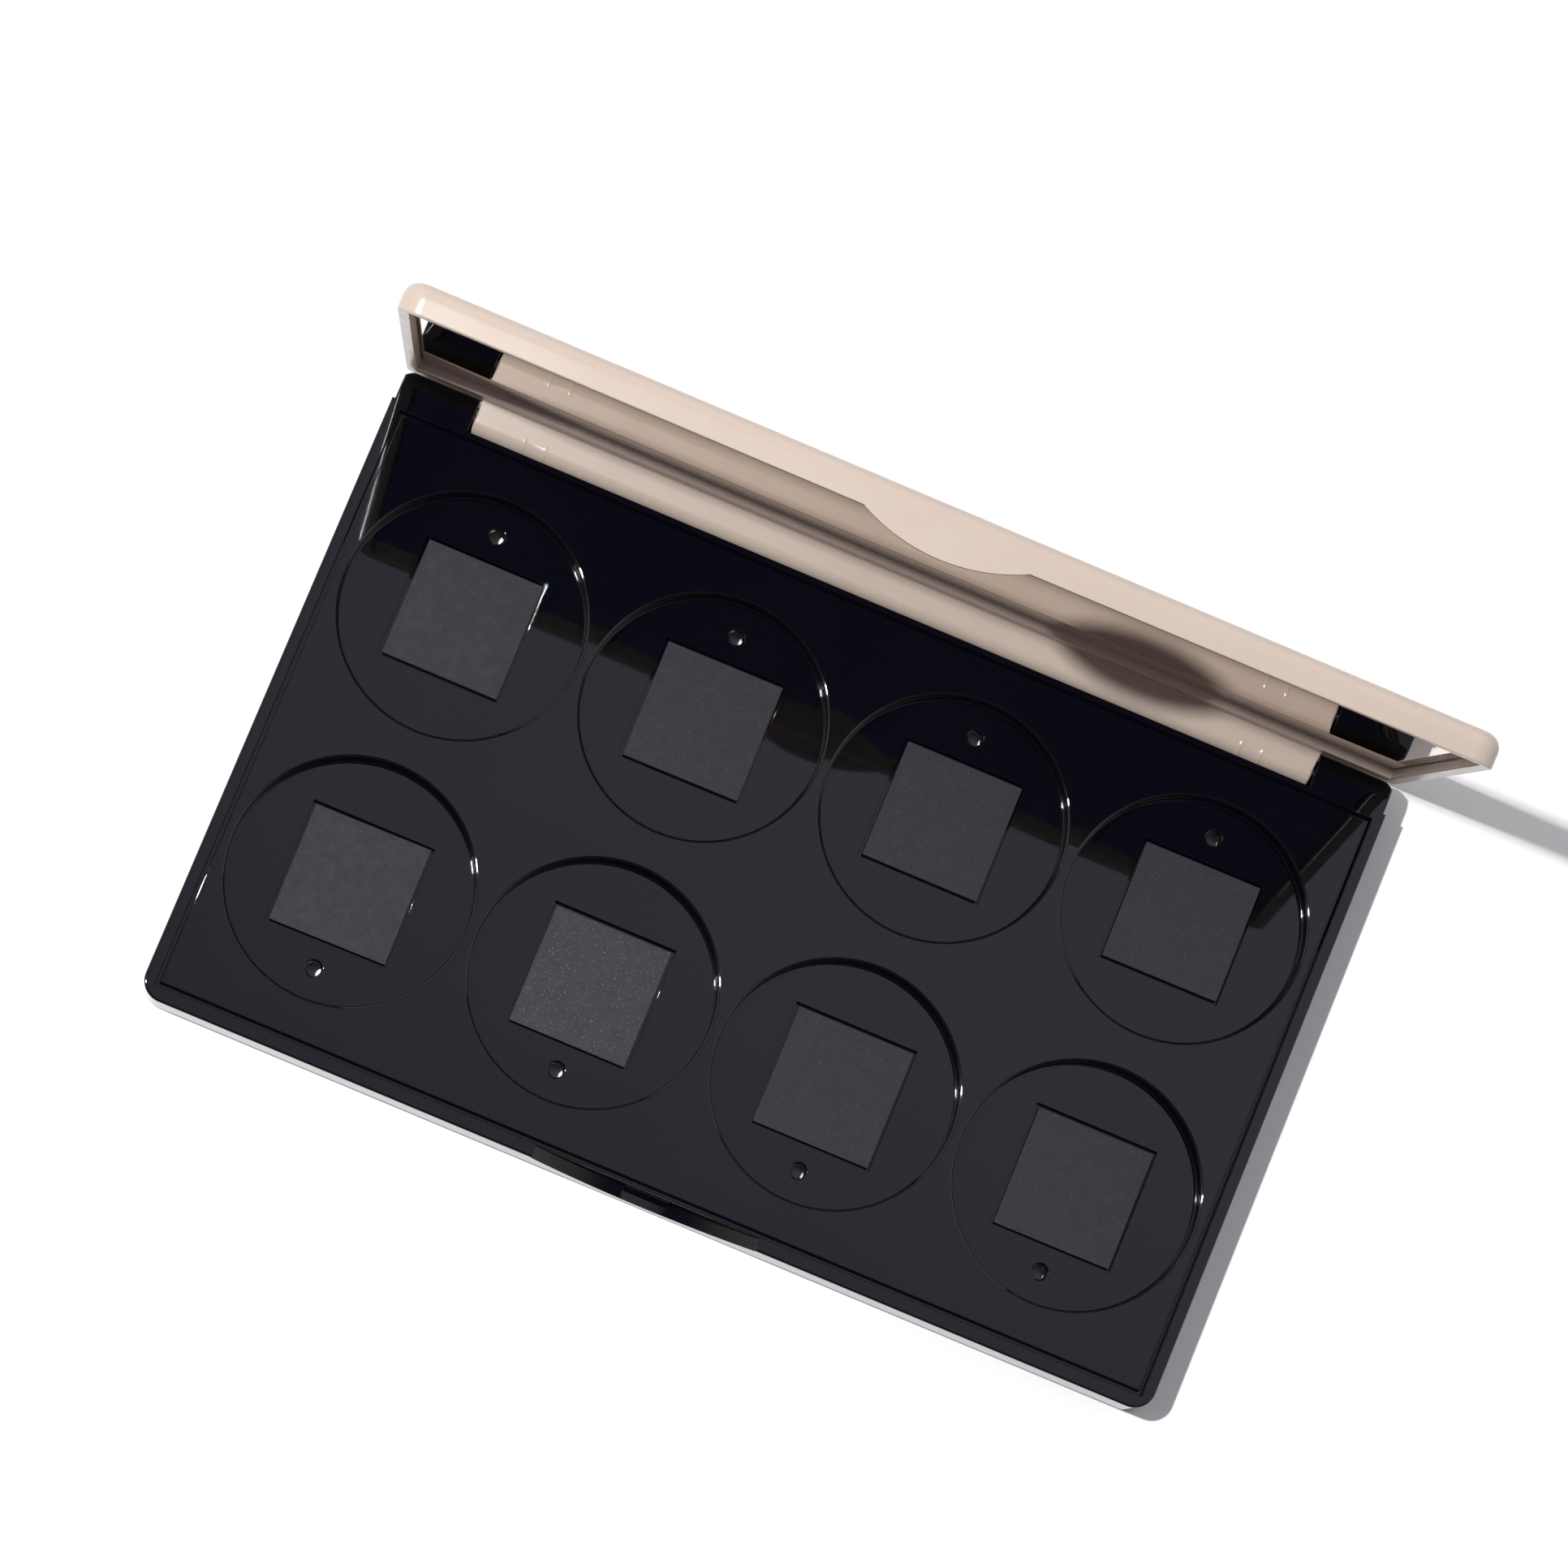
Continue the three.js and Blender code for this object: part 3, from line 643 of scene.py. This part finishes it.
def make_base_casing():
    """The tub with its ledge, ribs, poke exits, knuckles, scoop and catch."""
    half = CASE_HIGH.x
    shoulder = half - SHOULDER_STEP
    block = rounded_rectangle(half, CASE_LOW.y, SHOULDER_Y, CASE_CORNER, 0)
    casing = object_of("casing_shell", prism(block, 0, CASE_TOP))
    trough = rectangle(-KNUCKLE_INNER_X, KNUCKLE_INNER_X, REAR_RIM_Y, SHOULDER_Y + OVERCUT)
    cut(casing, prism(trough, BARREL_TROUGH_Z, CASE_TOP + OVERCUT))
    sill = [
        (REAR_RIM_Y - OVERCUT, 0),
        (rear_wall_y(0), 0),
        (rear_wall_y(BARREL_TROUGH_Z), BARREL_TROUGH_Z),
        (REAR_RIM_Y - OVERCUT, BARREL_TROUGH_Z),
    ]
    add(casing, prism(sill, -KNUCKLE_INNER_X - OVERCUT, KNUCKLE_INNER_X + OVERCUT, "X"))
    add(casing, knuckle(-shoulder, -KNUCKLE_INNER_X), knuckle(KNUCKLE_INNER_X, shoulder))
    clean(casing)
    round_edges(casing, FLOOR_ROUND, lambda middle, edge: near(middle.z, 0))
    cut(casing, corner_cutter(1), corner_cutter(-1))

    opening_x = TRAY_HIGH.x + TRAY_GAP
    front = TRAY_LOW.y - TRAY_GAP
    rear = TRAY_HIGH.y + TRAY_GAP
    opening = rectangle(-opening_x, opening_x, front, rear)
    cut(casing, prism(opening, CASE_TOP - TRAY_PLATE, CASE_TOP + OVERCUT))
    inner_x = opening_x - LEDGE
    inside = rectangle(-inner_x, inner_x, front + LEDGE, rear - LEDGE)
    cut(casing, prism(inside, CASE_FLOOR, CASE_TOP + OVERCUT))
    relief = WELL_RADIUS + CUP_WALL + CUP_CLEARANCE
    relief_z = CUP_UNDERSIDE_Z - CUP_CLEARANCE
    for group in (WELLS[::2], WELLS[1::2]):
        cut(casing, *[
            prism(circle((x, y), relief, RELIEF_STEPS), relief_z, CASE_TOP + OVERCUT)
            for x, y, _ in group
        ])
    rib_top = CUP_UNDERSIDE_Z - RIB_GAP
    rib_front, rib_rear = front + LEDGE / 2, rear - LEDGE / 2
    rib_reach = opening_x - LEDGE / 2
    lengthwise = rectangle(-rib_reach, rib_reach, WELL_CENTRE_Y - RIB / 2, WELL_CENTRE_Y + RIB / 2)
    add(casing, prism(lengthwise, CASE_FLOOR / 2, rib_top))
    add(casing, *[
        prism(rectangle(x - RIB / 2, x + RIB / 2, rib_front, rib_rear), CASE_FLOOR / 2, rib_top)
        for x in (-WELL_PITCH_X, 0, WELL_PITCH_X)
    ])
    cut(casing, *[
        prism(circle((x, poke_y), POKE_EXIT_RADIUS, HOLE_STEPS), -OVERCUT, CASE_FLOOR + OVERCUT)
        for x, _, poke_y in WELLS
    ])
    cut(casing, *[
        prism(circle((HINGE_Y, HINGE_Z), PIN_HOLE_RADIUS, HOLE_STEPS), *span, "X")
        for span in ((-half, -KNUCKLE_INNER_X + OVERCUT), (KNUCKLE_INNER_X - OVERCUT, half))
    ])
    scoop_low = CASE_TOP - SCOOP_MIDDLE_DEPTH
    scoop_end = CASE_TOP - SCOOP_END_DEPTH
    scoop = hanging_arc(SCOOP_HALF_WIDTH, CASE_TOP + OVERCUT, scoop_end, scoop_low)
    cut(casing, prism(scoop, CASE_LOW.y - OVERCUT, SCOOP_BACK_Y, "Y"))
    catch_top = CASE_TOP - CATCH_TOP_DEPTH
    catch_x = CATCH_WIDTH / 2
    ledge = rectangle(-catch_x, catch_x, catch_top - CATCH_HEIGHT, catch_top)
    add(casing, prism(ledge, SCOOP_BACK_Y - CATCH_PROUD, SCOOP_BACK_Y + OVERLAP, "Y"))
    slot = rectangle(-catch_x, catch_x, SCOOP_BACK_Y - CATCH_SLOT_DEPTH, SCOOP_BACK_Y)
    cut(casing, prism(slot, CASE_FLOOR, scoop_low + OVERCUT / 2))
    clean(casing)

    def is_exit_edge(middle, edge):
        radius = min(math.hypot(middle.x - x, middle.y - poke_y) for x, _, poke_y in WELLS)
        return near(middle.z, 0) and near(radius, POKE_EXIT_RADIUS, LOOSE_MARGIN / 2)

    def is_outer_edge(middle, edge):
        outside = (
            near(abs(middle.x), half) or near(middle.y, CASE_LOW.y)
            or (middle.y < CASE_LOW.y + CASE_CORNER and abs(middle.x) > half - CASE_CORNER)
            or (middle.y > SHOULDER_Y - TIGHT_MARGIN and abs(middle.x) > shoulder - TIGHT_MARGIN)
        )
        outboard = abs(middle.x) > shoulder - KNUCKLE_CHAMFER - TIGHT_MARGIN
        beside = middle.y > SHOULDER_Y + TIGHT_MARGIN and middle.z > CASE_FLOOR and outboard
        return (near(middle.z, CASE_TOP) and outside) or beside

    def is_opening_edge(middle, edge):
        inside = near(abs(middle.x), opening_x) or near(middle.y, front) or near(middle.y, rear)
        return near(middle.z, CASE_TOP) and inside

    def is_trough_edge(middle, edge):
        slanting = abs(edge.verts[0].co.y - edge.verts[1].co.y) > TIGHT_MARGIN
        across = near(abs(middle.x), KNUCKLE_INNER_X) and middle.y > REAR_RIM_Y and slanting
        along = near(middle.y, REAR_RIM_Y) and near(middle.z, CASE_TOP)
        above = middle.z > BARREL_TROUGH_Z + TIGHT_MARGIN
        return along or (across and above and not in_pin_hole(middle))

    def is_scoop_edge(middle, edge):
        in_catch = abs(middle.x) < catch_x + LOOSE_MARGIN
        beside_catch = in_catch and middle.z < catch_top + LOOSE_MARGIN
        in_scoop = abs(middle.x) < SCOOP_HALF_WIDTH + LOOSE_MARGIN
        in_front = middle.y < SCOOP_BACK_Y + LOOSE_MARGIN
        return in_scoop and in_front and middle.z > CASE_FLOOR and not beside_catch

    round_edges(casing, EXIT_ROUND, is_exit_edge)
    round_edges(casing, OUTER_ROUND, is_outer_edge, steps=5)
    round_edges(casing, TROUGH_ROUND, is_trough_edge, steps=3)
    round_edges(casing, OPENING_ROUND, is_opening_edge, steps=3)
    round_edges(casing, SCOOP_ROUND, is_scoop_edge, steps=2)
    finish_piece(casing, CASING_BLACK, "base", "casing_black", "base_casing")


# ---- well tray ------------------------------------------------------------------------------------
def make_well_tray():
    """The drop-in plate with its cups, magnet pockets and poke tubes."""
    plate = rectangle(TRAY_LOW.x, TRAY_HIGH.x, TRAY_LOW.y, TRAY_HIGH.y)
    tray = object_of("tray_plate", prism(plate, CASE_TOP - TRAY_PLATE, CASE_TOP))
    cup = WELL_RADIUS + CUP_WALL
    pocket = POCKET_SIDE / 2
    for group in (WELLS[::2], WELLS[1::2]):
        add(tray, *[
            prism(circle((x, y), cup, CUP_STEPS), CUP_UNDERSIDE_Z, CASE_TOP - OVERLAP)
            for x, y, _ in group
        ])
    joint_z = WELL_FLOOR_Z - OVERLAP
    add(tray, *[
        prism(square(x, y, pocket + POCKET_WALL), POCKET_FLOOR_Z - POCKET_WALL, joint_z)
        for x, y, _ in WELLS
    ])
    add(tray, *[
        prism(circle((x, poke_y), POKE_TUBE_RADIUS, HOLE_STEPS), TRAY_LOW.z, joint_z)
        for x, _, poke_y in WELLS
    ])
    cut(tray, *[
        prism(circle((x, y), WELL_RADIUS, WELL_STEPS), WELL_FLOOR_Z, CASE_TOP + OVERCUT)
        for x, y, _ in WELLS
    ])
    cut(tray, *[prism(square(x, y, pocket), POCKET_FLOOR_Z, CASE_TOP) for x, y, _ in WELLS])
    cut(tray, *[
        prism(circle((x, poke_y), POKE_RADIUS, HOLE_STEPS), 0, CASE_TOP)
        for x, _, poke_y in WELLS
    ])
    clean(tray)

    def on_well_wall(middle):
        radius = min(math.hypot(middle.x - x, middle.y - y) for x, y, _ in WELLS)
        return near(radius, WELL_RADIUS, LOOSE_MARGIN)

    def is_well_rim(middle, edge):
        return near(middle.z, CASE_TOP) and on_well_wall(middle)

    def is_outline(middle, edge):
        return near(middle.z, CASE_TOP) and not is_well_rim(middle, edge)

    def is_poke_rim(middle, edge):
        radius = min(math.hypot(middle.x - x, middle.y - poke_y) for x, _, poke_y in WELLS)
        return near(middle.z, WELL_FLOOR_Z) and near(radius, POKE_RADIUS, LOOSE_MARGIN / 2)

    def is_pocket_rim(middle, edge):
        reach = min(max(abs(middle.x - x), abs(middle.y - y)) for x, y, _ in WELLS)
        return near(middle.z, WELL_FLOOR_Z) and near(reach, pocket)

    def is_well_corner(middle, edge):
        return near(middle.z, WELL_FLOOR_Z) and on_well_wall(middle)

    round_edges(tray, WELL_RIM_ROUND, is_well_rim, steps=6)
    round_edges(tray, TRAY_ROUND, is_outline, steps=3)
    round_edges(tray, POKE_ROUND, is_poke_rim)
    round_edges(tray, POCKET_ROUND, is_pocket_rim, steps=2)
    round_edges(tray, WELL_CORNER_ROUND, is_well_corner, steps=3)
    finish_piece(tray, TRAY_BLACK, "base", "tray_black", "well_tray")


# ---- magnets --------------------------------------------------------------------------------------
def make_magnet(number):
    """A die-cut square of magnet sheet, keeping its CAD node's place and turn."""
    node = f"magnet_{number}"
    magnet = frame["nodes"][node].copy()
    magnet.data = magnet.data.copy()
    magnet.name = f"magnet_square_{number}"
    magnet.parent = None
    magnet.modifiers.clear()
    for key in [key for key in magnet.keys() if key.startswith("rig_")]:
        del magnet[key]
    bpy.context.scene.collection.objects.link(magnet)
    magnet.data.transform(Matrix.Scale(1 / MM, 4))
    clean(magnet)
    round_edges(magnet, MAGNET_ROUND, lambda middle, edge: True, steps=3)
    look = BRIGHT_MAGNET if number == BRIGHT_MAGNET_NUMBER else MAGNET
    finish_piece(magnet, look, "base", "magnet_sheet", node)


# ---- lid ------------------------------------------------------------------------------------------
def barrel_profile():
    """The hinge barrel's radius along X, with two fine ridges near the bottom of each pin hole."""
    right = [
        (
            middle + RIDGE_HALF_WIDTH * (2 * step / RIDGE_STEPS - 1),
            BARREL_RADIUS + RIDGE_HEIGHT * math.sin(math.pi * step / RIDGE_STEPS) ** 2,
        )
        for middle in RIDGE_X
        for step in range(RIDGE_STEPS + 1)
    ]
    right.append((BARREL_HALF_LENGTH, BARREL_RADIUS))
    return [(-x, radius) for x, radius in reversed(right)] + right


def make_lid_shell():
    """The lid with its mirror recess, hinge barrel and thumb tab, drawn shut."""
    half = LID_HIGH.x - LID_INSET
    front, rear = CASE_LOW.y + LID_INSET, LID_HIGH.y - LID_INSET
    outline = rounded_rectangle(half, front, rear, LID_CORNER, LID_CORNER)
    lid = object_of("lid_cover", prism(outline, LID_RIM_Z, LID_HIGH.z - LID_INSET))
    barrel_front, barrel_rear = HINGE_Y - BARREL_RADIUS, HINGE_Y + BARREL_RADIUS
    web = rectangle(barrel_front, barrel_rear, HINGE_Z, LID_RIM_Z + OVERCUT)
    add(lid, prism(web, -BARREL_HALF_LENGTH, BARREL_HALF_LENGTH, "X"))
    add(lid, turned(barrel_profile(), BARREL_STEPS))
    tab_rear = front + TAB_THICKNESS
    tab_low = LID_RIM_Z - TAB_DROP
    tab = hanging_arc(TAB_WIDTH / 2, LID_RIM_Z + OVERCUT, LID_RIM_Z, tab_low)
    add(lid, prism(tab, front, tab_rear, "Y"))
    nib_z = tab_low + NIB_HEIGHT / 2
    nib = rectangle(-NIB_WIDTH / 2, NIB_WIDTH / 2, nib_z, nib_z + NIB_HEIGHT)
    add(lid, prism(nib, tab_rear - OVERLAP, tab_rear + NIB_PROUD, "Y"))
    recess = rectangle(-half + LID_RIM, half - LID_RIM, front + LID_RIM, LID_REAR_RIM_Y)
    cut(lid, prism(recess, LID_RIM_Z - OVERCUT, LID_POCKET_Z))
    mouth = BARREL_HALF_LENGTH + OVERCUT
    cut(lid, *[
        prism(circle((HINGE_Y, HINGE_Z), PIN_HOLE_RADIUS, HOLE_STEPS), *span, "X")
        for span in ((-mouth, -PIN_HOLE_INNER_X), (PIN_HOLE_INNER_X, mouth))
    ])
    clean(lid)

    def is_outer_top(middle, edge):
        return near(middle.z, LID_HIGH.z - LID_INSET)

    def is_rim(middle, edge):
        return near(middle.z, LID_RIM_Z)

    def is_barrel_end(middle, edge):
        return near(abs(middle.x), BARREL_HALF_LENGTH) and not in_pin_hole(middle)

    def is_tab_edge(middle, edge):
        below_rim = middle.z < LID_RIM_Z - LOOSE_MARGIN / 2
        return below_rim and middle.y < tab_rear + LOOSE_MARGIN / 2 and abs(middle.x) < TAB_WIDTH

    round_edges(lid, LID_EDGE, is_outer_top, steps=8)
    round_edges(lid, BARREL_END_ROUND, is_barrel_end)
    round_edges(lid, LID_RIM_ROUND, is_rim)
    round_edges(lid, TAB_ROUND, is_tab_edge, steps=2)
    finish_piece(lid, NUDE, "lid", "lid_nude", "lid_shell", opened=True)


def make_mirror():
    """A thin sheet that bows a little away from the lid along its middle."""
    half = MIRROR_HIGH.x
    across = [half * (2 * step / BOW_STEPS - 1) for step in range(BOW_STEPS + 1)]
    front = [(x, MIRROR_LOW.z - MIRROR_BOW * (1 - (x / half) ** 2)) for x in across]
    outline = [(half, MIRROR_HIGH.z), (-half, MIRROR_HIGH.z), *front]
    mirror = object_of("mirror_plate", prism(outline, MIRROR_LOW.y, MIRROR_HIGH.y, "Y"))
    round_edges(mirror, MIRROR_ROUND, lambda middle, edge: True, steps=2)
    finish_piece(mirror, MIRROR_GLASS, "lid", "mirror_glass", "mirror", opened=True)


def dress_node(node, material):
    """Gives a CAD node that is kept a finished material."""
    data = frame["nodes"][node].data
    data.materials.clear()
    data.materials.append(material)


make_base_casing()
make_well_tray()
make_lid_shell()
make_mirror()
for number in range(1, 9):
    make_magnet(number)
    dress_node(f"magnet_adhesive_{number}", FILM)
dress_node("mirror_adhesive", FILM)
dress_node("hinge_pin_left", STEEL)
dress_node("hinge_pin_right", STEEL)

# ---- floor, light and camera, in metres -----------------------------------------------------------
FLOOR_SIZE = 8.0
FLOOR_PARTS = 4
KEY_PLACE = Vector((-207.3, -34.3, 586.3)) * MM
KEY_POWER = 17.8
KEY_RADIUS = 9.0 * MM

CAMERA_PLACE = Vector((-25.87, -100.0, 699.5)) * MM
CAMERA_TARGET = Vector((-3.24, 10.48, 6.7)) * MM
CAMERA_ROLL = math.radians(34.22)
CAMERA_LENS = 153.075
CAMERA_SENSOR = 36.0
CAMERA_NEAR = 0.01
CAMERA_FAR = 20


def make_floor():
    """A plain pale floor, far wider than the view."""
    bm = bmesh.new()
    bmesh.ops.create_grid(bm, x_segments=FLOOR_PARTS, y_segments=FLOOR_PARTS, size=FLOOR_SIZE / 2)
    floor = object_of("floor", bm)
    floor.data.materials.append(white_floor())


def make_key_light():
    """One small lamp, high up on the left, that throws the photo's crisp shadows."""
    point = bpy.data.lights.new("key_light", "POINT")
    point.energy = KEY_POWER
    point.shadow_soft_size = KEY_RADIUS
    lamp = bpy.data.objects.new("key_light", point)
    lamp.location = KEY_PLACE
    bpy.context.scene.collection.objects.link(lamp)


# Soft patches of the studio, as (direction, inner and outer radius in degrees, colour). Each is laid
# over those before it.
WORLD_BASE = (0.95, 0.95, 0.95)
WORLD_PATCHES = [
    (Vector((0.0, 0.0, 1.0)), 62, 78, (1.0, 0.99, 0.99)),
    (Vector((0.0, -1.0, 0.25)), 50, 80, (0.17, 0.12, 0.085)),
    (Vector((0.0, 0.0, 1.0)), 30, 44, (0.22, 0.215, 0.22)),
    (Vector((0.17, 0.14, 1.0)), 6, 22, (0.68, 0.70, 0.84)),
    (Vector((0.0, -0.45, 1.0)), 14, 34, (0.06, 0.07, 0.16)),
]


def make_world():
    """Lays the soft patches over the even base, by the angle from each patch's middle."""
    world = bpy.data.worlds.new("studio")
    world.use_nodes = True
    bpy.context.scene.world = world
    nodes = world.node_tree.nodes
    links = world.node_tree.links
    direction = nodes.new("ShaderNodeTexCoord").outputs["Generated"]
    colour = nodes.new("ShaderNodeRGB")
    colour.outputs[0].default_value = (*WORLD_BASE, 1)
    last = colour.outputs[0]
    for towards, inner, outer, tint in WORLD_PATCHES:
        dot = nodes.new("ShaderNodeVectorMath")
        dot.operation = "DOT_PRODUCT"
        dot.inputs[1].default_value = towards.normalized()
        links.new(direction, dot.inputs[0])
        share = nodes.new("ShaderNodeMapRange")
        share.interpolation_type = "SMOOTHSTEP"
        share.inputs["From Min"].default_value = math.cos(math.radians(outer))
        share.inputs["From Max"].default_value = math.cos(math.radians(inner))
        links.new(dot.outputs["Value"], share.inputs["Value"])
        mix = nodes.new("ShaderNodeMix")
        mix.data_type = "RGBA"
        mix.inputs["B"].default_value = (*tint, 1)
        links.new(share.outputs["Result"], mix.inputs["Factor"])
        links.new(last, mix.inputs["A"])
        last = mix.outputs["Result"]
    links.new(last, nodes["Background"].inputs["Color"])


def make_camera():
    """The photo's camera: nearly overhead, and rolled about its own line of sight."""
    camera = bpy.data.objects.new("camera", bpy.data.cameras.new("camera"))
    forward = (CAMERA_TARGET - CAMERA_PLACE).normalized()
    level = forward.cross(Vector((0, 0, 1))).normalized()
    right = math.cos(CAMERA_ROLL) * level + math.sin(CAMERA_ROLL) * level.cross(forward)
    up = right.cross(forward)
    turn = Matrix((right, up, -forward)).transposed().to_4x4()
    camera.matrix_world = Matrix.Translation(CAMERA_PLACE) @ turn
    camera.data.lens = CAMERA_LENS
    camera.data.sensor_width = CAMERA_SENSOR
    camera.data.clip_start = CAMERA_NEAR
    camera.data.clip_end = CAMERA_FAR
    bpy.context.scene.collection.objects.link(camera)
    bpy.context.scene.camera = camera


make_floor()
make_key_light()
make_world()
make_camera()
bpy.context.scene.view_settings.view_transform = "Standard"
